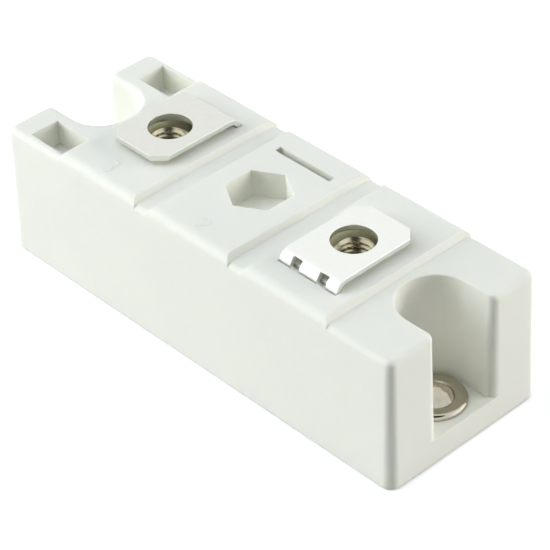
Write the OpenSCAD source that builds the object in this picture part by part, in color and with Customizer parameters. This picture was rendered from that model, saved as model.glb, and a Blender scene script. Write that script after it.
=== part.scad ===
// Power diode module: a moulded housing with two screw terminals over captive nuts, a free third
// nut pocket, two cut-away mounting lugs, and a ceramic base that carries one soldered diode chip.
// Millimetres, +Z up, origin at the centre of the base face, +X towards the lugs without sockets.

/* [Housing] */
// Length of the housing at its foot
body_l = 94; // [92:0.5:106]
// Width of the housing at its foot
body_w = 34; // [33:0.5:42]
// How far the moulded foot stays above the base face
foot_lift = 0.25; // [0.1:0.05:0.5]
// Height of the three raised deck fields
deck_z = 26.6; // [25:0.1:32]
// How far the grooves and the lugs lie below the deck
deck_step = 1.1; // [0.5:0.1:1.5]
// Run of the slopes between the deck and the lower levels
slope_run = 0.9; // [0.5:0.1:2]
// Width of a groove's floor
groove_floor = 3; // [1.5:0.1:5]
// How far the grooves lie outside the middle between two nut pockets
groove_shift = 0.1; // [0:0.05:0.5]
// Rounding of the deck's long edges
deck_edge_r = 1.8; // [0.8:0.1:2.4]
// Rounding of the lugs' top edges and of the slot rims
lug_edge_r = 1.1; // [0.5:0.1:1.4]
// Radius of the upright corners at the foot
corner_r = 2; // [1.8:0.1:4]
// How far the walls lean in between the foot and the lugs' top edges
lean = 0.5; // [0.1:0.02:0.7]
// Thickness of the roof under the deck
roof = 3.1; // [2.5:0.1:4]
// Thickness of the rim around the ceramic plate, along the sides
rim_wall = 1.3; // [1:0.1:2]
// Thickness of the wall between the ceramic plate and a mounting slot
end_wall = 2.5; // [1.5:0.05:4]

/* [Mounting lugs] */
// Distance between the two mounting holes
mount_pitch = 80; // [78:0.5:84]
// Width of the open-ended mounting slots below their rounded rims
slot_w = 13.2; // [12.6:0.1:14]
// How far a slot's round end is centred outside its mounting hole
slot_shift = 0.3; // [0:0.05:0.4]
// Height of the slots' floor
slot_floor = 5.1; // [4:0.1:8]
// Radius of the upright edges at the slots' mouths, at the foot
mouth_r = 1.9; // [1.7:0.1:3]
// Flat strip between a slot's rounded rim and the foot of the deck's slope
slot_land = 0.1; // [0.1:0.1:1]
// Outer diameter of the mounting bushes
bush_od = 11.2; // [9.6:0.1:11.6]
// Bore of the mounting bushes
bush_bore = 6.5; // [5.4:0.1:7]
// How far the bushes stand above the slots' floor
bush_proud = 1; // [0.8:0.1:2]
// Rounding of a bush's outer top edge
bush_edge_r = 0.8; // [0.3:0.1:0.9]
// Rounding of a bush's inner top edge
bush_lip_r = 0.4; // [0.1:0.1:0.7]

/* [Control sockets] */
// Length of the two plug sockets in the far lugs
socket_l = 8.4; // [6:0.1:9]
// Width of the plug sockets
socket_w = 5.9; // [4.5:0.1:6.4]
// Depth of the plug sockets
socket_depth = 4.8; // [4.4:0.1:12]
// Flat strip between a socket and the foot of the deck's slope
socket_land = 0.5; // [0.2:0.1:1.5]
// Wall between a socket and the side of the housing, below the rounded edge
socket_wall = 1.4; // [1.2:0.1:2]

/* [Terminals] */
// Distance between neighbouring nut pockets
term_pitch = 22.6; // [21:0.1:24]
// Width of a terminal
term_w = 13; // [11:0.1:15]
// Thickness of the terminal sheet
term_t = 1; // [0.8:0.1:1.3]
// Gap between the deck and a terminal's plate
term_gap = 0.9; // [0.4:0.1:1.5]
// From the middle line to the outer face of a terminal's leg
term_reach = 10.9; // [10.6:0.1:12]
// From the middle line to a terminal's free end
term_free = 7.9; // [7:0.1:9.5]
// Outer radius of the bend at the top of the leg
term_bend_r = 2.4; // [1.8:0.1:3]
// Hole for the terminal screw
term_hole_d = 7.7; // [6.4:0.1:8.5]
// Offset of that hole towards the bend
term_hole_shift = 0.45; // [0:0.05:1]
// Corner cut at the free end
term_corner = 2.1; // [0.5:0.1:3]
// Width of the two relief notches across the bend
notch_w = 1.9; // [1:0.1:2.5]
// Distance of each notch from the terminal's middle
notch_x = 3; // [2.2:0.1:4]
// Where the notches start on the bend, in degrees from its top
notch_start = 32; // [20:1:50]
// Width of the leg inside the housing
leg_w = 9; // [6:0.5:10]
// How far the terminal's full width reaches below the roof
neck_drop = 1; // [0.5:0.1:2]
// Length of the soldered foot
foot_l = 7; // [5:0.5:8]
// Inner radius of the bend at the foot
foot_bend_r = 1; // [0.5:0.1:1.5]
// Clearance of a terminal's faces in its slot
leg_clear = 0.2; // [0.1:0.05:0.4]
// Clearance of a terminal's edges in its slot
edge_clear = 0.1; // [0.05:0.05:0.3]

/* [Nuts] */
// Width across flats of a nut
nut_af = 10; // [8:0.1:11]
// Height of a nut
nut_h = 5; // [4:0.1:6.5]
// Bore of a nut
nut_bore = 5; // [4.2:0.1:6]
// Width of the chamfer at a nut's mouths
nut_chamfer = 0.6; // [0.2:0.1:0.9]
// Clearance between a nut and its pocket, across flats
nut_clear = 0.35; // [0.1:0.05:0.6]
// How far a nut lies below the deck
nut_sink = 0.2; // [0.1:0.1:1]
// Wall around and below a nut pocket
tower_wall = 2; // [1:0.1:2.2]

/* [Ceramic base] */
// Thickness of the copper face under the ceramic
base_copper_t = 0.3; // [0.2:0.05:0.5]
// Thickness of the ceramic plate
ceramic_t = 0.63; // [0.38:0.01:1]
// Thickness of the copper tracks on the ceramic
track_t = 0.3; // [0.2:0.05:0.5]
// Bare margin of ceramic around the copper below
copper_margin = 1; // [0.5:0.1:2]
// Clearance between the ceramic plate and the housing's rim
ceramic_clear = 0.2; // [0.1:0.05:0.4]
// Width of the housing's seat on the ceramic
seat_w = 1; // [0.6:0.1:2]
// Thickness of the sealing adhesive on the seat
adhesive_t = 0.15; // [0.05:0.05:0.3]
// Distance between the tracks and the cavity's walls
track_margin = 1; // [0.5:0.1:2]
// Gap between the two tracks
track_gap = 2; // [1:0.1:3]
// Place of that gap along the length
track_split = -2.5; // [-4:0.1:-1]
// Corner radius of the copper on both faces of the ceramic
copper_corner = 1.2; // [0.5:0.1:2]

/* [Diode circuit] */
// Side of the square diode chip
chip_w = 12; // [8:0.5:14]
// Thickness of the chip
chip_t = 0.3; // [0.2:0.05:0.5]
// Place of the chip along the length
chip_x = 9; // [8:0.1:10]
// Thickness of each solder layer
solder_t = 0.1; // [0.05:0.05:0.2]
// Width of the copper clip
clip_w = 8; // [5:0.5:8]
// Thickness of the clip
clip_t = 0.8; // [0.4:0.1:1.2]
// Length of each of the clip's feet
clip_foot = 6; // [4:0.5:7]
// Height of the clip's bridge above the chip
clip_rise = 2; // [1:0.1:4]
// Run of each sloping part of the clip
clip_run = 3; // [2:0.1:4]
// Height of the silicone gel's surface
gel_z = 9; // [7:0.5:12]

/* [Hidden] */
$fn = 64;
// Cutters reach this far past the faces they open
over = 1;

// Levels, from the base up
ceramic_z = base_copper_t;
track_z = ceramic_z + ceramic_t;
seat_z = track_z + adhesive_t;
solder_z = track_z + track_t;
joint_z = solder_z + solder_t;
chip_top_z = joint_z + chip_t;
clip_z = chip_top_z + solder_t;
lug_z = deck_z - deck_step;
shoulder_z = lug_z - lug_edge_r;
roof_z = deck_z - roof;
bush_z = slot_floor + bush_proud;
pocket_depth = nut_sink + nut_h;
pocket_z = deck_z - pocket_depth;
tower_z = pocket_z - tower_wall;
plate_z = deck_z + term_gap + term_t;
neck_z = roof_z - neck_drop;

// Lengths and half widths
mount_x = mount_pitch / 2;
slot_r = slot_w / 2;
slot_x = mount_x + slot_shift;
deck_foot_x = slot_x - slot_r - lug_edge_r - slot_land;
groove_x = term_pitch / 2 + groove_shift;
rebate = [slot_x - slot_r - end_wall, body_w / 2 - rim_wall];
ceramic = [rebate.x - ceramic_clear, rebate.y - ceramic_clear];
cavity = [ceramic.x - seat_w, ceramic.y - seat_w];
track = [cavity.x - track_margin, cavity.y - track_margin];
// The deck's walls lean on at the lugs' slope, this far inside them so that the faces stay apart
deck_inset = 0.02;
deck_lean = lean * (deck_z - deck_edge_r - foot_lift) / (shoulder_z - foot_lift);
socket_x = -deck_foot_x - socket_land - socket_l / 2;
socket_y = body_w / 2 - lean - socket_wall - socket_w / 2;
pocket_r = (nut_af + nut_clear) / 2 / cos(30);
tower_r = pocket_r + tower_wall;
leg_y = term_reach - term_t;
bend = [term_reach - term_bend_r, plate_z - term_bend_r];
foot_bend = [leg_y - foot_bend_r, joint_z + term_t + foot_bend_r];
foot_y = term_reach - foot_l;
clip_bridge_z = clip_z + clip_rise;
clip_far_x = track_split - track_gap / 2 - clip_run;

plastic = [0.92, 0.93, 0.91];
nickel = [0.78, 0.77, 0.73];
bright_tin = [0.85, 0.85, 0.83];
copper = [0.80, 0.50, 0.35];
alumina = [0.90, 0.90, 0.86];
silicon = [0.30, 0.31, 0.36];
tin_solder = [0.66, 0.67, 0.68];
gel_tint = [0.80, 0.85, 0.88, 0.5];

// A box from its lowest and highest corners
module span(low, high) {
    translate(low) cube(high - low);
}

// A box about the Z axis with the given half sizes, between two heights
module slab(half, z0, z1) {
    span([-half.x, -half.y, z0], [half.x, half.y, z1]);
}

// Flat copper between two corners of its plan, with rounded corners, between two heights
module copper_sheet(low, high, z0, z1) {
    r = copper_corner;
    translate([0, 0, z0]) linear_extrude(z1 - z0) {
        translate(low + [0, r]) square(high - low - [0, 2 * r]);
        translate(low + [r, 0]) square(high - low - [2 * r, 0]);
        for (x = [low.x + r, high.x - r], y = [low.y + r, high.y - r]) translate([x, y]) circle(r);
    }
}

// Carries a YZ outline along X, about the middle
module along_x(length) {
    rotate([90, 0, 90]) linear_extrude(length, center = true) children();
}

// Carries an XZ outline along Y, about the middle
module along_y(length) {
    rotate([90, 0, 0]) linear_extrude(length, center = true) children();
}

// Repeats and mirrors what faces +X to -X
module both_ends() {
    children();
    mirror([1, 0, 0]) children();
}

// Quarter disc in the corner between +X and +Y, or mirrored to -X
module quarter(r, side) {
    mirror([side < 0 ? 1 : 0, 0]) intersection() {
        circle(r);
        square(r);
    }
}

// Upright section of the moulding: walls that lean in, under a flat top with rounded edges
module wall_section(half, top, edge, leaning) {
    shoulder = half - leaning;
    centre = shoulder - edge;
    low = top - edge;
    polygon([[-half, foot_lift], [half, foot_lift], [shoulder, low], [centre, low], [centre, top],
             [-centre, top], [-centre, low], [-shoulder, low]]);
    for (side = [-1, 1]) translate([side * centre, low]) quarter(edge, side);
}

// Turned upright corner of the lug block, of radius r at the foot
module corner_post(r) {
    rotate_extrude() intersection() {
        wall_section(r, lug_z, lug_edge_r, lean);
        square([r, lug_z]);
    }
}

// Solid part of the moulding up to the lugs: two crossed sections and four turned corners
module lug_block() {
    along_x(body_l - 2 * corner_r) wall_section(body_w / 2, lug_z, lug_edge_r, lean);
    along_y(body_w - 2 * corner_r) wall_section(body_l / 2, lug_z, lug_edge_r, lean);
    post = [body_l / 2 - corner_r, body_w / 2 - corner_r];
    for (side_x = [-1, 1], side_y = [-1, 1])
        translate([side_x * post.x, side_y * post.y, 0]) corner_post(corner_r);
}

// Side outline of one raised deck field, from its foot to its sloping ends
module deck_outline(x0, x1) {
    low = lug_z - deck_edge_r - over;
    polygon([[x0, low], [x0, lug_z], [x0 + slope_run, deck_z],
             [x1 - slope_run, deck_z], [x1, lug_z], [x1, low]]);
}

// The three raised fields of the deck, with a groove between neighbours
module deck_fields() {
    inner = groove_x - groove_floor / 2;
    outer = groove_x + groove_floor / 2;
    intersection() {
        along_x(2 * deck_foot_x + over)
            wall_section(body_w / 2 - deck_inset, deck_z, deck_edge_r, deck_lean);
        along_y(body_w + over) {
            deck_outline(-deck_foot_x, -outer);
            deck_outline(-inner, inner);
            deck_outline(outer, deck_foot_x);
        }
    }
}

// Half section of a mounting slot, widening to its rounded rim
module slot_section() {
    low_r = slot_r - lean;
    rim_r = slot_r + lug_edge_r;
    difference() {
        polygon([[0, foot_lift], [low_r, foot_lift], [slot_r, shoulder_z], [rim_r, shoulder_z],
                 [rim_r, lug_z + over], [0, lug_z + over]]);
        translate([rim_r, shoulder_z]) circle(lug_edge_r);
    }
}

// Mounting slot at the +X end: round inside, open at the end wall, with rounded upright mouth edges
module mounting_slot() {
    end_x = body_l / 2 + over;
    mouth_x = body_l / 2 - mouth_r;
    mouth_y = slot_r - lean + mouth_r;
    intersection() {
        union() {
            translate([slot_x, 0, 0]) rotate_extrude() slot_section();
            for (side = [0, 1]) mirror([0, side, 0]) {
                translate([slot_x, 0, 0]) rotate([90, 0, 90]) linear_extrude(end_x - slot_x) slot_section();
                difference() {
                    span([mouth_x, 0, foot_lift], [end_x, mouth_y, lug_z + over]);
                    translate([mouth_x, mouth_y, 0]) corner_post(mouth_r);
                }
            }
        }
        span([0, -body_w, slot_floor], [end_x, body_w, deck_z + over]);
    }
}

// Plug socket sunk in one of the far lugs
module plug_socket() {
    half = [socket_l, socket_w] / 2;
    translate([socket_x, socket_y, 0]) slab(half, lug_z - socket_depth, lug_z + over);
}

// Hexagonal nut pocket with a plain floor, open at the deck
module nut_pocket() {
    translate([0, 0, pocket_z]) rotate(30) cylinder(r = pocket_r, h = pocket_depth + over, $fn = 6);
}

// Slot through the roof for a terminal's leg that bends down at the rear
module leg_slot() {
    half_w = term_w / 2 + edge_clear;
    low = [-half_w, leg_y - leg_clear, roof_z - over];
    span(low, [half_w, term_reach + leg_clear, deck_z + over]);
}

// One-piece moulding: hollow under the roof, with three nut towers hanging from it
module housing() {
    color(plastic) difference() {
        union() {
            difference() {
                union() {
                    lug_block();
                    deck_fields();
                }
                slab(rebate, -over, seat_z);
                slab(cavity, -over, roof_z);
            }
            for (i = [-1, 0, 1]) translate([i * term_pitch, 0, tower_z])
                cylinder(r = tower_r, h = roof_z + over - tower_z);
        }
        both_ends() mounting_slot();
        both_ends() translate([mount_x, 0, -over]) cylinder(d = bush_od, h = slot_floor + 2 * over);
        for (side = [0, 1]) mirror([0, side, 0]) plug_socket();
        for (i = [-1, 0, 1]) translate([i * term_pitch, 0, 0]) {
            nut_pocket();
            rotate(i > 0 ? 180 : 0) leg_slot();
        }
    }
}

// Quarter of a bent strip, from straight up to straight out
module quarter_bend(outer) {
    intersection() {
        difference() {
            circle(outer);
            circle(outer - term_t);
        }
        square(outer);
    }
}

// Side view of a terminal: plate, bend, leg and soldered foot, with the leg towards +Y
module terminal_side() {
    translate([-term_free, plate_z - term_t]) square([term_free + bend.x, term_t]);
    translate(bend) quarter_bend(term_bend_r);
    translate([leg_y, foot_bend.y]) square([term_t, bend.y - foot_bend.y]);
    translate(foot_bend) rotate(-90) quarter_bend(foot_bend_r + term_t);
    translate([foot_y, joint_z]) square([foot_bend.x - foot_y, term_t]);
}

// Stamped and bent terminal about the pocket it belongs to, its leg towards +Y
module terminal() {
    half_w = term_w / 2;
    difference() {
        intersection() {
            along_x(term_w + over) terminal_side();
            linear_extrude(plate_z + over)
                polygon([[-half_w, term_corner - term_free], [term_corner - half_w, -term_free],
                         [half_w - term_corner, -term_free], [half_w, term_corner - term_free],
                         [half_w, term_reach + over], [-half_w, term_reach + over]]);
            along_y(2 * (term_reach + over))
                polygon([[-leg_w / 2, 0], [leg_w / 2, 0], [leg_w / 2, neck_z], [half_w, neck_z],
                         [half_w, plate_z + over], [-half_w, plate_z + over], [-half_w, neck_z],
                         [-leg_w / 2, neck_z]]);
        }
        translate([0, term_hole_shift, plate_z - term_t - over])
            cylinder(d = term_hole_d, h = term_t + 2 * over);
        for (side = [-1, 1]) translate([side * notch_x, 0, 0]) along_x(notch_w) translate(bend)
            polygon([[0, 0], 2 * term_bend_r * [sin(notch_start), cos(notch_start)],
                     2 * term_bend_r * [1, 1], 2 * term_bend_r * [1, 0]]);
    }
}

module terminal_left() {
    color(bright_tin) translate([-term_pitch, 0, 0]) terminal();
}

module terminal_right() {
    color(bright_tin) translate([term_pitch, 0, 0]) rotate(180) terminal();
}

// Hexagon nut with both faces chamfered and a plain bore at the thread's inner diameter
module nut() {
    corner = nut_af / 2 / cos(30);
    rise = (corner - nut_af / 2) * tan(30);
    translate([0, 0, pocket_z]) difference() {
        intersection() {
            rotate(30) cylinder(r = corner, h = nut_h, $fn = 6);
            rotate_extrude() polygon([[0, 0], [nut_af / 2, 0], [corner, rise], [corner, nut_h - rise],
                                      [nut_af / 2, nut_h], [0, nut_h]]);
        }
        rotate_extrude() polygon([[0, -over], [nut_bore / 2 + nut_chamfer, -over],
                                  [nut_bore / 2 + nut_chamfer, 0], [nut_bore / 2, nut_chamfer],
                                  [nut_bore / 2, nut_h - nut_chamfer], [nut_bore / 2 + nut_chamfer, nut_h],
                                  [nut_bore / 2 + nut_chamfer, nut_h + over], [0, nut_h + over]]);
    }
}

module nut_left() {
    color(nickel) translate([-term_pitch, 0, 0]) nut();
}

module nut_right() {
    color(nickel) translate([term_pitch, 0, 0]) nut();
}

// Turned bush moulded into a slot's floor, its top edges rounded
module bush() {
    outer = bush_od / 2;
    inner = bush_bore / 2;
    translate([mount_x, 0, 0]) rotate_extrude() {
        polygon([[inner, foot_lift], [outer, foot_lift],
                 [outer, bush_z - bush_edge_r], [outer - bush_edge_r, bush_z],
                 [inner + bush_lip_r, bush_z], [inner, bush_z - bush_lip_r]]);
        translate([outer - bush_edge_r, bush_z - bush_edge_r]) circle(bush_edge_r);
        translate([inner + bush_lip_r, bush_z - bush_lip_r]) circle(bush_lip_r);
    }
}

module bush_left() {
    color(nickel) mirror([1, 0, 0]) bush();
}

module bush_right() {
    color(nickel) bush();
}

module base_copper() {
    face = ceramic - copper_margin * [1, 1];
    color(copper) copper_sheet(-face, face, 0, ceramic_z);
}

module ceramic_plate() {
    color(alumina) slab(ceramic, ceramic_z, track_z);
}

// Frame of adhesive between the ceramic's edge and the housing's seat
module sealing_adhesive() {
    color(gel_tint) difference() {
        slab(ceramic, track_z, seat_z);
        slab(cavity, track_z - over, seat_z + over);
    }
}

module track_left() {
    color(copper) copper_sheet(-track, [track_split - track_gap / 2, track.y], track_z, solder_z);
}

module track_right() {
    color(copper) copper_sheet([track_split + track_gap / 2, -track.y], track, track_z, solder_z);
}

// Solder under a terminal's foot, for the leg towards +Y
module terminal_solder() {
    span([-leg_w / 2, foot_y, solder_z], [leg_w / 2, foot_bend.x, joint_z]);
}

module terminal_solder_left() {
    color(tin_solder) translate([-term_pitch, 0, 0]) terminal_solder();
}

module terminal_solder_right() {
    color(tin_solder) translate([term_pitch, 0, 0]) rotate(180) terminal_solder();
}

module chip_solder() {
    color(tin_solder) translate([chip_x, 0, 0]) slab(chip_w / 2 * [1, 1], solder_z, joint_z);
}

module diode_chip() {
    color(silicon) translate([chip_x, 0, 0]) slab(chip_w / 2 * [1, 1], joint_z, chip_top_z);
}

module clip_solder_chip() {
    color(tin_solder) translate([chip_x, 0, 0]) slab([clip_foot, clip_w] / 2, chip_top_z, clip_z);
}

module clip_solder_track() {
    low = [clip_far_x - clip_foot, -clip_w / 2, solder_z];
    color(tin_solder) span(low, [clip_far_x, clip_w / 2, joint_z]);
}

// Bent strip that joins the top of the chip to the other track
module copper_clip() {
    near_x = chip_x - clip_foot / 2;
    under = [[chip_x + clip_foot / 2, clip_z], [near_x, clip_z],
             [near_x - clip_run, clip_bridge_z], [clip_far_x + clip_run, clip_bridge_z],
             [clip_far_x, joint_z], [clip_far_x - clip_foot, joint_z]];
    upper = [for (i = [len(under) - 1:-1:0]) under[i] + [0, clip_t]];
    color(copper) along_y(clip_w) polygon(concat(under, upper));
}

// Soft filling over the circuit, shaped by everything that stands in it
module silicone_gel() {
    color(gel_tint) difference() {
        slab(cavity, track_z, gel_z);
        track_left();
        track_right();
        terminal_left();
        terminal_right();
        terminal_solder_left();
        terminal_solder_right();
        chip_solder();
        diode_chip();
        clip_solder_chip();
        clip_solder_track();
        copper_clip();
    }
}

housing();
terminal_left();
terminal_right();
nut_left();
nut_right();
bush_left();
bush_right();
base_copper();
ceramic_plate();
sealing_adhesive();
track_left();
track_right();
terminal_solder_left();
terminal_solder_right();
chip_solder();
diode_chip();
clip_solder_chip();
clip_solder_track();
copper_clip();
silicone_gel();
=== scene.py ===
"""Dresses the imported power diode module: moulding, plated metal, threads, floor, lamps and camera.

Metres in Blender, millimetres in the values below, in the frame of the CAD model: +Z up, +X towards
the lugs without sockets, origin at the centre of the base face.
"""
import math

import bmesh
import bpy
import numpy as np
from mathutils import Matrix, Vector


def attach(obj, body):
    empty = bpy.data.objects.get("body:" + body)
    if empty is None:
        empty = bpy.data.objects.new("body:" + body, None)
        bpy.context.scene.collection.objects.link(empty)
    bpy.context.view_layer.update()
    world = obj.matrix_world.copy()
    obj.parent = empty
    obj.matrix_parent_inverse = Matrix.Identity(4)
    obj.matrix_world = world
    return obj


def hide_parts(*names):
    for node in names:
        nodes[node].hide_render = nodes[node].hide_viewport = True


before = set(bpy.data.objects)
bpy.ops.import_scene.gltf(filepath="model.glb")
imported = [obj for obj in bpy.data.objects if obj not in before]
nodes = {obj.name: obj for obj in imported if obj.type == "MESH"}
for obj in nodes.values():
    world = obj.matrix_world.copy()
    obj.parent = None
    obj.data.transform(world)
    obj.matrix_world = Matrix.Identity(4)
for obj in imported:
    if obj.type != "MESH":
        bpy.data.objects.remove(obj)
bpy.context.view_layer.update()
scene = bpy.context.scene
scene.view_settings.view_transform = "Standard"

MM = 0.001

# Levels and places that the pieces share with the solids
DECK_Z = 26.6
LUG_Z = 25.5
SLOT_FLOOR_Z = 5.1
TERMINAL_X = 22.6

# Mounting slot at the +X end: middle of its round end, axis of its mouth's upright edges, and the
# radius of its rim in the solid and as it shows, with the reach within which a point is on the rim
SLOT_X, SLOT_R = 40.3, 6.6
MOUTH_X, MOUTH_Y, MOUTH_R = 45.1, 8.0, 1.4
SOLID_RIM_R, DRAWN_RIM_R, RIM_NEAR = 1.1, 0.25, 0.005

# Captive nuts; the gain and drop clip the thread's triangle wave to flat crests and roots
NUT_LOW_Z, NUT_HIGH_Z = 21.4, 26.4
NUT_FLATS = 10.0
NUT_BORE_R = 2.5
NUT_MOUTH = 0.6
NUT_STATIONS, NUT_LEVELS = 96, 85
THREAD_PITCH = 1.0
THREAD_DEPTH = 0.52
FLANK_GAIN, FLANK_DROP = 1.3, 0.15

# Moulded figures: width, height and sunken share of the stroke, and how many points its parts have
MARK_WIDTH, MARK_HEIGHT, MARK_SUNK = 0.4, 0.06, 0.1
SECTION_POINTS, ARC_POINTS, LINE_POINTS = 12, 25, 12

# Mesh work: reach of doubles and of level edges, widths of softened edges, and angles in degrees
DOUBLES_NEAR, LEVEL_NEAR = 0.001, 0.002
HOUSING_EDGE, SHEET_EDGE = 0.16, 0.14
FLAT_ANGLE, RIM_ANGLE, SHARP_ANGLE, EDGE_ANGLE = 0.3, 25, 30, 40


# Colours and shader nodes

# Sockets of a mix node for colours, by number because its kinds share their names
FACTOR, FIRST, SECOND, MIXED = 0, 6, 7, 2


def paint(code):
    """sRGB hex to linear RGBA: c / 12.92 up to 0.04045, else ((c + 0.055) / 1.055) ^ 2.4."""
    c = np.array([int(code[i:i + 2], 16) for i in (1, 3, 5)]) / 255
    linear = np.where(c <= 0.04045, c / 12.92, ((c + 0.055) / 1.055) ** 2.4)
    return (*linear.tolist(), 1.0)


def add(tree, kind, inputs, **settings):
    """One node with its settings; each input takes a value, or a link where a socket is given."""
    made = tree.nodes.new(kind)
    for name, value in settings.items():
        setattr(made, name, value)
    for key, value in inputs.items():
        if isinstance(value, bpy.types.NodeSocket):
            tree.links.new(value, made.inputs[key])
        else:
            made.inputs[key].default_value = value
    return made


def blank(name):
    """A material with empty nodes, its tree and the object coordinates in metres."""
    material = bpy.data.materials.new(name)
    material.use_nodes = True
    tree = material.node_tree
    tree.nodes.clear()
    return material, tree, add(tree, "ShaderNodeTexCoord", {}).outputs["Object"]


def per_mm(size):
    """Texture scale, in repeats per metre, for features of this size in millimetres."""
    return 1 / (size * MM)


# Materials

def moulded_plastic(name, depth):
    """Glass-filled thermoplastic, injection moulded in a spark-eroded tool: a satin, warm white.

    The tool leaves a fine grain, drawn coarse enough to show, and the melt leaves slow clouds. Light
    spreads inside by this depth in millimetres; thin pieces take none.
    """
    cloud_size, grain_size, grain_relief = 16, 0.45, 0.02
    material, tree, where = blank(name)
    cloud = add(tree, "ShaderNodeTexNoise",
                {"Vector": where, "Scale": per_mm(cloud_size), "Detail": 2.0})
    grain = add(tree, "ShaderNodeTexNoise",
                {"Vector": where, "Scale": per_mm(grain_size), "Detail": 3.0})
    tone = add(tree, "ShaderNodeMix",
               {FACTOR: cloud.outputs["Fac"], FIRST: paint("#F0EFE5"), SECOND: paint("#F4F3E9")},
               data_type="RGBA")
    sheen = add(tree, "ShaderNodeMapRange",
                {"Value": grain.outputs["Fac"], "To Min": 0.42, "To Max": 0.56})
    bump = add(tree, "ShaderNodeBump",
               {"Height": grain.outputs["Fac"], "Strength": 0.25, "Distance": grain_relief * MM})
    shader = add(tree, "ShaderNodeBsdfPrincipled",
                 {"Base Color": tone.outputs[MIXED], "Roughness": sheen.outputs["Result"],
                  "IOR": 1.55, "Subsurface Weight": 0.4 if depth else 0.0,
                  "Subsurface Scale": depth * MM, "Subsurface Radius": (0.9, 1.0, 0.7),
                  "Normal": bump.outputs["Normal"]})
    add(tree, "ShaderNodeOutputMaterial", {"Surface": shader.outputs["BSDF"]})
    return material


def plated_sheet(name, dark, light, rough):
    """Tin-plated copper sheet, rolled and stamped: a soft silver with fine rolling lines along Y.

    The lines are drawn coarser than real ones, so that they show.
    """
    line_width, line_length, mottle_size, mottle_relief = 0.12, 6.0, 0.8, 0.01
    material, tree, where = blank(name)
    stretch = add(tree, "ShaderNodeMapping",
                  {"Vector": where, "Scale": (1.0, line_width / line_length, 1.0)})
    lines = add(tree, "ShaderNodeTexNoise",
                {"Vector": stretch.outputs["Vector"], "Scale": per_mm(line_width), "Detail": 2.0})
    mottle = add(tree, "ShaderNodeTexNoise",
                 {"Vector": where, "Scale": per_mm(mottle_size), "Detail": 4.0})
    tone = add(tree, "ShaderNodeMix",
               {FACTOR: mottle.outputs["Fac"], FIRST: paint(dark), SECOND: paint(light)},
               data_type="RGBA")
    sheen = add(tree, "ShaderNodeMapRange",
                {"Value": lines.outputs["Fac"], "To Min": rough[0], "To Max": rough[1]})
    bump = add(tree, "ShaderNodeBump",
               {"Height": mottle.outputs["Fac"], "Strength": 0.2, "Distance": mottle_relief * MM})
    shader = add(tree, "ShaderNodeBsdfPrincipled",
                 {"Base Color": tone.outputs[MIXED], "Metallic": 1.0,
                  "Roughness": sheen.outputs["Result"], "Normal": bump.outputs["Normal"]})
    add(tree, "ShaderNodeOutputMaterial", {"Surface": shader.outputs["BSDF"]})
    return material


def nickel_steel(name, dark, light, rough):
    """Nickel-plated turned steel: a warm grey mirror, dulled by stains and by fine turning marks."""
    mark_spacing, mark_relief, stain_size = 0.15, 0.003, 1.5
    material, tree, where = blank(name)
    marks = add(tree, "ShaderNodeTexWave",
                {"Vector": where, "Scale": per_mm(mark_spacing * 2 * math.pi), "Distortion": 1.5,
                 "Detail": 2.0},
                wave_type="BANDS", bands_direction="Z")
    stain = add(tree, "ShaderNodeTexNoise",
                {"Vector": where, "Scale": per_mm(stain_size), "Detail": 3.0})
    tone = add(tree, "ShaderNodeMix",
               {FACTOR: stain.outputs["Fac"], FIRST: paint(dark), SECOND: paint(light)},
               data_type="RGBA")
    sheen = add(tree, "ShaderNodeMapRange",
                {"Value": stain.outputs["Fac"], "To Min": rough[0], "To Max": rough[1]})
    bump = add(tree, "ShaderNodeBump",
               {"Height": marks.outputs["Fac"], "Strength": 0.15, "Distance": mark_relief * MM})
    shader = add(tree, "ShaderNodeBsdfPrincipled",
                 {"Base Color": tone.outputs[MIXED], "Metallic": 1.0,
                  "Roughness": sheen.outputs["Result"], "Normal": bump.outputs["Normal"]})
    add(tree, "ShaderNodeOutputMaterial", {"Surface": shader.outputs["BSDF"]})
    return material


def grained(name, dark, light, size, metallic, rough, relief):
    """An even grain of this size and relief in millimetres, which mixes two tones and roughnesses."""
    material, tree, where = blank(name)
    grain = add(tree, "ShaderNodeTexNoise",
                {"Vector": where, "Scale": per_mm(size), "Detail": 4.0})
    tone = add(tree, "ShaderNodeMix",
               {FACTOR: grain.outputs["Fac"], FIRST: paint(dark), SECOND: paint(light)},
               data_type="RGBA")
    sheen = add(tree, "ShaderNodeMapRange",
                {"Value": grain.outputs["Fac"], "To Min": rough[0], "To Max": rough[1]})
    bump = add(tree, "ShaderNodeBump",
               {"Height": grain.outputs["Fac"], "Strength": 0.3, "Distance": relief * MM})
    shader = add(tree, "ShaderNodeBsdfPrincipled",
                 {"Base Color": tone.outputs[MIXED], "Metallic": metallic,
                  "Roughness": sheen.outputs["Result"], "Normal": bump.outputs["Normal"]})
    add(tree, "ShaderNodeOutputMaterial", {"Surface": shader.outputs["BSDF"]})
    return material


plastic = moulded_plastic("moulded_thermoplastic", depth=1.2)
thin_plastic = moulded_plastic("thin_moulded_thermoplastic", depth=0)
# Both terminals are the same tin-plated copper. The left sheet is painted darker (painted shade) and
# the right sheet lighter (painted highlight), standing in for the different light each one mirrors;
# their roughness is set apart as well.
shaded_tin = plated_sheet("matt_tin_plated_copper", "#E5E7E0", "#EDEFE8", rough=(0.34, 0.5))
lit_tin = plated_sheet("bright_tin_plated_copper", "#F3F7F1", "#F9FBF7", rough=(0.26, 0.4))
bush_nickel = nickel_steel("nickel_plated_bush", "#AEA898", "#CFCABB", rough=(0.04, 0.1))
nut_nickel = nickel_steel("nickel_plated_nut", "#B1AA8D", "#CEC8AF", rough=(0.18, 0.3))
# Bonded copper, lightly oxidised on the base face: salmon with a brown bloom
bonded_copper = grained("bonded_copper", "#B4735A", "#C98A6D",
                        size=1.2, metallic=1.0, rough=(0.32, 0.5), relief=0.01)
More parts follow.
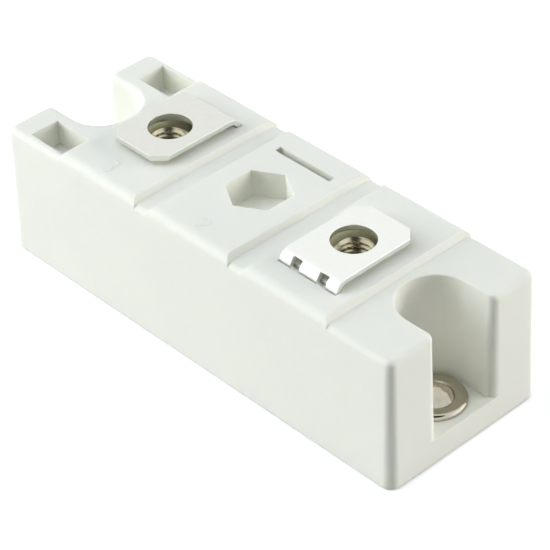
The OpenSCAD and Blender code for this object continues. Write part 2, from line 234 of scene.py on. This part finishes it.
# Fired alumina: a dense off-white with a very fine matt grain
alumina = grained("fired_alumina", "#E4E3DA", "#EFEEE7",
                  size=0.6, metallic=0.0, rough=(0.5, 0.65), relief=0.01)
# Soft solder: a dull tin grey that froze in small crystals
tin_solder = grained("soft_solder", "#9C9D9C", "#B9BAB8",
                     size=0.4, metallic=1.0, rough=(0.35, 0.55), relief=0.02)
# Passivated silicon: a dark slate mirror
silicon = grained("passivated_silicon", "#3F424B", "#4B4E58",
                  size=2.0, metallic=0.3, rough=(0.12, 0.2), relief=0.002)
# Cured silicone: milky, soft and slightly glossy
silicone = grained("cured_silicone", "#C6CDCC", "#D5DBDA",
                   size=3.0, metallic=0.0, rough=(0.2, 0.32), relief=0.03)


# Pieces

def piece(name, mesh, material, sharp=SHARP_ANGLE):
    """Links a mesh as a piece of the root body, smooth apart from edges sharper than this angle."""
    mesh.materials.clear()
    mesh.materials.append(material)
    mesh.polygons.foreach_set("use_smooth", np.ones(len(mesh.polygons), dtype=bool))
    mesh.set_sharp_from_angle(angle=math.radians(sharp))
    made = bpy.data.objects.new(name, mesh)
    scene.collection.objects.link(made)
    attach(made, "root")
    return made


def merged(node, name):
    """A copy of a node's triangles with its doubles merged and its flat faces joined."""
    mesh = nodes[node].data.copy()
    mesh.name = name
    if "custom_normal" in mesh.attributes:
        mesh.attributes.remove(mesh.attributes["custom_normal"])
    work = bmesh.new()
    work.from_mesh(mesh)
    bmesh.ops.remove_doubles(work, verts=work.verts, dist=DOUBLES_NEAR * MM)
    bmesh.ops.dissolve_limit(work, angle_limit=math.radians(FLAT_ANGLE), verts=work.verts,
                             edges=work.edges)
    work.to_mesh(mesh)
    work.free()
    return mesh


def soften(made, width, limit="ANGLE"):
    """Rounds a piece's edges by this width in millimetres."""
    bevel = made.modifiers.new("edge_softening", "BEVEL")
    bevel.width = width * MM
    bevel.segments = 2
    bevel.limit_method = limit
    bevel.angle_limit = math.radians(EDGE_ANGLE)
    bevel.harden_normals = True


def surface(name, grids, wrap=(False, False)):
    """Mesh of grids of points in millimetres, rows by columns.

    Neighbours are joined by quads that face out where columns turn left and rows rise; wrap closes
    the rows or the columns into a ring.
    """
    points, quads, count = [], [], 0
    for grid in grids:
        index = count + np.arange(grid.shape[0] * grid.shape[1]).reshape(grid.shape[:2])
        count = index[-1, -1] + 1
        if wrap[0]:
            index = np.vstack([index, index[:1]])
        if wrap[1]:
            index = np.hstack([index, index[:, :1]])
        corners = np.stack([index[:-1, :-1], index[:-1, 1:], index[1:, 1:], index[1:, :-1]], axis=-1)
        points.append(grid.reshape(-1, 3) * MM)
        quads.append(corners.reshape(-1, 4))
    mesh = bpy.data.meshes.new(name)
    mesh.from_pydata(np.vstack(points).tolist(), [], np.vstack(quads).tolist())
    return mesh


def threaded_nut(centre_x):
    """Closed ring of stations by angle, up the outside of a nut and down its bore.

    Outside, the radius is flats / 2 / cos(angle from the nearest flat), and the faces' rims rise at
    30 degrees towards the corners. Inside, it is the larger of the mouth's 45 degree cone and a
    helical thread, whose depth is a clipped triangle wave of (height / pitch - angle / turn).
    """
    turn, half_flat, rim_slope = 2 * math.pi, math.pi / 6, math.tan(math.pi / 6)
    angle = np.linspace(0, turn, NUT_STATIONS, endpoint=False)
    from_flat = (angle + half_flat) % (2 * half_flat) - half_flat
    hexagon = NUT_FLATS / 2 / np.cos(from_flat)
    rise = (hexagon - NUT_FLATS / 2) * rim_slope
    even = np.ones_like(angle)
    face_r = NUT_FLATS / 2 * even
    mouth_r = NUT_BORE_R + NUT_MOUTH
    outside_r = np.stack([mouth_r * even, face_r, hexagon, hexagon, face_r, mouth_r * even])
    outside_z = np.stack([NUT_LOW_Z * even, NUT_LOW_Z * even, NUT_LOW_Z + rise,
                          NUT_HIGH_Z - rise, NUT_HIGH_Z * even, NUT_HIGH_Z * even])
    height = np.linspace(NUT_HIGH_Z, NUT_LOW_Z, NUT_LEVELS)[1:-1, None]
    wave = np.abs(2 * ((height / THREAD_PITCH - angle / turn) % 1) - 1)
    thread = NUT_BORE_R + THREAD_DEPTH * np.clip(FLANK_GAIN * wave - FLANK_DROP, 0, 1)
    cone = mouth_r - np.minimum(NUT_HIGH_Z - height, height - NUT_LOW_Z)
    radius = np.vstack([outside_r, np.maximum(thread, cone)])
    level = np.vstack([outside_z, height * even])
    return np.stack([centre_x + radius * np.cos(angle), radius * np.sin(angle), level], axis=-1)


def stroke(path, width, height, z):
    """A raised line: a low half-round section carried along a flat path, pointed at both ends.

    The section is (cos a * width / 2, max(sin a, -sunk) * height), scaled near the ends by a quarter
    circle.
    """
    step = np.gradient(path, axis=0)
    step /= np.linalg.norm(step, axis=1, keepdims=True)
    across = np.stack([-step[:, 1], step[:, 0]], axis=1)
    run = np.concatenate([[0], np.cumsum(np.linalg.norm(np.diff(path, axis=0), axis=1))])
    to_end = np.minimum(run, run[-1] - run) / (width / 2)
    scale = np.sqrt(1 - (1 - np.clip(to_end, 0, 1)) ** 2)[:, None]
    a = np.linspace(0, 2 * math.pi, SECTION_POINTS, endpoint=False)
    side = np.cos(a) * width / 2 * scale
    up = np.maximum(np.sin(a), -MARK_SUNK) * height * scale
    flat = path[:, None, :] + side[:, :, None] * across[:, None, :]
    return np.concatenate([flat, (z + up)[:, :, None]], axis=2)


def arc(centre, radius, first, last):
    """Points on a circle from one angle to another, in degrees."""
    a = np.radians(np.linspace(first, last, ARC_POINTS))
    return np.stack([centre[0] + radius * np.cos(a), centre[1] + radius * np.sin(a)], axis=1)


def line(first, last):
    """Even points on a straight line."""
    t = np.linspace(0, 1, LINE_POINTS)[:, None]
    return np.asarray(first) * (1 - t) + np.asarray(last) * t


def rim_edges(mesh, levels):
    """Marks for softening the convex sharp edges that lie level at one of these heights."""
    work = bmesh.new()
    work.from_mesh(mesh)
    weight = work.edges.layers.float.new("bevel_weight_edge")
    for edge in work.edges:
        level = any(all(abs(v.co.z - z * MM) < LEVEL_NEAR * MM for v in edge.verts) for z in levels)
        if not level or len(edge.link_faces) != 2 or not edge.is_convex:
            continue
        if edge.calc_face_angle() > math.radians(RIM_ANGLE):
            edge[weight] = 1.0
    work.to_mesh(mesh)
    work.free()


def draw_in_rim(mesh):
    """Gives the mounting slot at the +X end the small rim radius that it shows.

    Each point of the rim moves towards the sharp corner between the wall and the lug's top: its
    distances from the wall, out from the axis, and from the top are multiplied by one share. The
    axis is the slot's round end or its middle line, and at the mouth the upright edge's own axis,
    round which the share grows evenly to 1.
    """
    points = np.empty(len(mesh.vertices) * 3)
    mesh.vertices.foreach_get("co", points)
    points = points.reshape(-1, 3) / MM
    x, y, z = points.T
    at_mouth = (x > MOUTH_X) & (np.abs(y) < MOUTH_Y)
    axis = np.stack([np.where(at_mouth, MOUTH_X, np.maximum(x, SLOT_X)),
                     np.where(at_mouth, np.copysign(MOUTH_Y, y), 0)], axis=1)
    out = points[:, :2] - axis
    radius = np.linalg.norm(out, axis=1)
    wall_r = np.where(at_mouth, MOUTH_R, SLOT_R)
    from_wall = np.abs(radius - wall_r)
    on_rim = np.where(at_mouth, radius < wall_r, radius > wall_r) | (from_wall < RIM_NEAR)
    on_rim &= (from_wall < SOLID_RIM_R + RIM_NEAR) & (at_mouth | (x < MOUTH_X + RIM_NEAR))
    on_rim &= (z > LUG_Z - SOLID_RIM_R - RIM_NEAR) & (z < LUG_Z + RIM_NEAR)
    quarter = np.arctan2(np.abs(out[:, 0]), np.abs(out[:, 1])) / (math.pi / 2)
    least = DRAWN_RIM_R / SOLID_RIM_R
    share = np.where(on_rim, least + (1 - least) * np.where(at_mouth, quarter, 0), 1)
    corner = axis + out * (wall_r / np.maximum(radius, RIM_NEAR))[:, None]
    moved = np.column_stack([corner + (points[:, :2] - corner) * share[:, None],
                             LUG_Z + (z - LUG_Z) * share])
    points[on_rim] = moved[on_rim]
    mesh.vertices.foreach_set("co", points.ravel() * MM)
    mesh.update()


housing_mesh = merged("housing", "housing_moulding")
draw_in_rim(housing_mesh)
rim_edges(housing_mesh, (DECK_Z, LUG_Z, SLOT_FLOOR_Z))
housing = piece("housing_moulding", housing_mesh, plastic, sharp=RIM_ANGLE)
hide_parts("housing")
soften(housing, HOUSING_EDGE, limit="WEIGHT")
even_shading = housing.modifiers.new("flat_faces_stay_flat", "WEIGHTED_NORMAL")
even_shading.keep_sharp = True

# The left terminal takes the darker copy of the tin, with painted shade, and the right one the
# lighter copy, with painted highlight.
for side, tin in (("left", shaded_tin), ("right", lit_tin)):
    name = f"terminal_{side}_sheet"
    sheet = piece(name, merged(f"terminal_{side}", name), tin)
    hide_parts(f"terminal_{side}")
    soften(sheet, SHEET_EDGE)

for side, x in (("left", -TERMINAL_X), ("right", TERMINAL_X)):
    name = f"nut_{side}_threaded"
    nut_mesh = surface(name, [threaded_nut(x)], wrap=(True, True))
    nut = piece(name, nut_mesh, nut_nickel, sharp=RIM_ANGLE)
    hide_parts(f"nut_{side}")
    name = f"bush_{side}_turned"
    bush = piece(name, merged(f"bush_{side}", name), bush_nickel)
    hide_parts(f"bush_{side}")

# Plain moulded figures at the front of two deck fields, read from the front
three = [arc((-23.2, -11.8), 0.8, 150, -85), arc((-23.2, -13.5), 0.9, 85, -150)]
two = [arc((0.1, -12.2), 0.85, 165, -30), line((0.84, -12.62), (-0.8, -14.4)),
       line((-0.8, -14.4), (1.0, -14.4))]
for name, paths in (("left_figure", three), ("middle_figure", two)):
    strokes = [stroke(path, MARK_WIDTH, MARK_HEIGHT, DECK_Z) for path in paths]
    piece(name, surface(name, strokes, wrap=(False, True)), thin_plastic)

# Inner solids keep their own meshes
inner_finishes = {
    bonded_copper: ("base_copper", "track_left", "track_right", "copper_clip"),
    alumina: ("ceramic_plate",),
    silicone: ("sealing_adhesive", "silicone_gel"),
    silicon: ("diode_chip",),
    tin_solder: ("chip_solder", "clip_solder_chip", "clip_solder_track", "terminal_solder_left",
                 "terminal_solder_right"),
}
for finish, names in inner_finishes.items():
    for node in names:
        nodes[node].data.materials.clear()
        nodes[node].data.materials.append(finish)


# Floor, world and lamps

FLOOR_HALF, FLOOR_DROP = 2500.0, 0.05
TOOTH_SIZE = 3.0
# Distances from the origin: shadows show up to the first, and all is white from the second
SHADOW_TO, WHITE_FROM = 90.0, 220.0


def seen(tree):
    """Two factors: 1 on rays straight from the camera, and 1 on those and on rays from a mirror or
    glass."""
    path = add(tree, "ShaderNodeLightPath", {}).outputs
    first = add(tree, "ShaderNodeMath", {0: path["Is Camera Ray"], 1: path["Is Glossy Ray"]},
                operation="MAXIMUM")
    every = add(tree, "ShaderNodeMath", {0: first.outputs[0], 1: path["Is Transmission Ray"]},
                operation="MAXIMUM")
    return path["Is Camera Ray"], every.outputs[0]


def white_floor():
    """A pale matt sweep, lit so well that it looks white apart from the shadow close to the module.

    The camera sees a pale matt twice over close to the module and plain white further out.
    """
    material, tree, where = blank("white_sweep")
    tooth = add(tree, "ShaderNodeTexNoise",
                {"Vector": where, "Scale": per_mm(TOOTH_SIZE), "Detail": 2.0})
    tone = add(tree, "ShaderNodeMix",
               {FACTOR: tooth.outputs["Fac"], FIRST: paint("#C9C9C6"), SECOND: paint("#CECECB")},
               data_type="RGBA")
    matt = add(tree, "ShaderNodeBsdfDiffuse", {"Color": tone.outputs[MIXED]})
    bright = add(tree, "ShaderNodeBsdfDiffuse", {"Color": paint("#E1E1E1")})
    shadowed = add(tree, "ShaderNodeAddShader", {0: bright.outputs[0], 1: bright.outputs[0]})
    white = add(tree, "ShaderNodeEmission", {"Color": paint("#FFFFFF"), "Strength": 1.0})
    away = add(tree, "ShaderNodeVectorMath", {0: where}, operation="LENGTH")
    near = add(tree, "ShaderNodeMapRange",
               {"Value": away.outputs["Value"], "From Min": WHITE_FROM * MM,
                "From Max": SHADOW_TO * MM})
    by_camera, by_any = seen(tree)
    close_by = add(tree, "ShaderNodeMath", {0: by_camera, 1: near.outputs["Result"]},
                   operation="MULTIPLY")
    pale = add(tree, "ShaderNodeMixShader",
               {0: close_by.outputs[0], 1: white.outputs[0], 2: shadowed.outputs[0]})
    both = add(tree, "ShaderNodeMixShader", {0: by_any, 1: matt.outputs[0], 2: pale.outputs[0]})
    add(tree, "ShaderNodeOutputMaterial", {"Surface": both.outputs[0]})
    return material


span = np.array([-FLOOR_HALF, FLOOR_HALF])
floor_points = np.stack(np.broadcast_arrays(span[None, :], span[:, None], -FLOOR_DROP), axis=-1)
floor = bpy.data.objects.new("floor", surface("floor", [floor_points]))
floor.data.materials.append(white_floor())
scene.collection.objects.link(floor)

# What metal mirrors: white all round, brighter at both sides, with an unlit gap above the open side;
# the gap's edge is given by the cosines of the angles at which it starts and is dark
SIDE, SIDE_POWER, SIDE_GAIN = (0.668, 0.745, 0.0), 4.0, 0.9
GAP, GAP_START, GAP_DARK, GAP_LEVEL = (0.394, -0.355, 0.848), 0.9, 0.94, 0.04
FILL_LEVEL = 0.02

world = bpy.data.worlds.new("white_studio")
world.use_nodes = True
studio = world.node_tree
studio.nodes.clear()
scene.world = world
fill = add(studio, "ShaderNodeBackground", {"Color": paint("#FFF9EC"), "Strength": FILL_LEVEL})
heading = add(studio, "ShaderNodeTexCoord", {}).outputs["Generated"]
sideways = add(studio, "ShaderNodeVectorMath", {0: heading, 1: SIDE}, operation="DOT_PRODUCT")
narrow = add(studio, "ShaderNodeMath", {0: sideways.outputs["Value"], 1: SIDE_POWER},
             operation="POWER")
boxes = add(studio, "ShaderNodeMath", {0: narrow.outputs[0], 1: SIDE_GAIN, 2: 1.0},
            operation="MULTIPLY_ADD")
to_gap = add(studio, "ShaderNodeVectorMath", {0: heading, 1: GAP}, operation="DOT_PRODUCT")
lit = add(studio, "ShaderNodeMapRange",
          {"Value": to_gap.outputs["Value"], "From Min": GAP_START, "From Max": GAP_DARK,
           "To Min": boxes.outputs[0], "To Max": GAP_LEVEL})
white = add(studio, "ShaderNodeBackground",
            {"Color": paint("#FFFFFF"), "Strength": lit.outputs["Result"]})
sky = add(studio, "ShaderNodeMixShader",
          {0: seen(studio)[1], 1: fill.outputs[0], 2: white.outputs[0]})
add(studio, "ShaderNodeOutputWorld", {"Surface": sky.outputs[0]})

AIM = (0, 0, 14)


def lamp(name, at, size, watts, code):
    """A square soft box of this size that faces the module's middle; lengths in millimetres."""
    data = bpy.data.lights.new(name, "AREA")
    data.size = size * MM
    data.energy = watts
    data.color = paint(code)[:3]
    made = bpy.data.objects.new(name, data)
    made.location = Vector(at) * MM
    made.visible_glossy = False
    made.rotation_euler = (Vector(AIM) - Vector(at)).to_track_quat("-Z", "Y").to_euler()
    scene.collection.objects.link(made)


lamp("left_box", at=(-560, -670, 236), size=520, watts=5.56, code="#F9FBFD")
lamp("low_left_box", at=(-930, -200, 160), size=560, watts=2.6, code="#F5F9FD")
lamp("high_left_box", at=(-500, -410, 625), size=520, watts=2.5, code="#F0FAFF")
lamp("right_box", at=(490, 505, 190), size=420, watts=4.65, code="#F9F9F8")
lamp("top_box", at=(-60, 0, 700), size=1000, watts=3.05, code="#EBF6FF")


# Camera, from the vanishing directions of the photograph's edges

LENS_PIXELS, IMAGE_PIXELS = 2472.6, 550
SENSOR_WIDTH, CLIP_START = 36.0, 10.0
RIGHT = (0.68770, 0.72528, -0.03213)
UP = (-0.42578, 0.43878, 0.79132)
BACK = (0.58802, -0.53051, 0.61056)
EYE = (248.202, -221.198, 265.029)

view = bpy.data.cameras.new("camera")
view.sensor_fit = "HORIZONTAL"
view.sensor_width = SENSOR_WIDTH
view.lens = SENSOR_WIDTH * LENS_PIXELS / IMAGE_PIXELS
view.clip_start = CLIP_START * MM
camera = bpy.data.objects.new("camera", view)
turned = Matrix((RIGHT, UP, BACK)).transposed().to_4x4()
camera.matrix_world = Matrix.Translation(Vector(EYE) * MM) @ turned
scene.collection.objects.link(camera)
scene.camera = camera
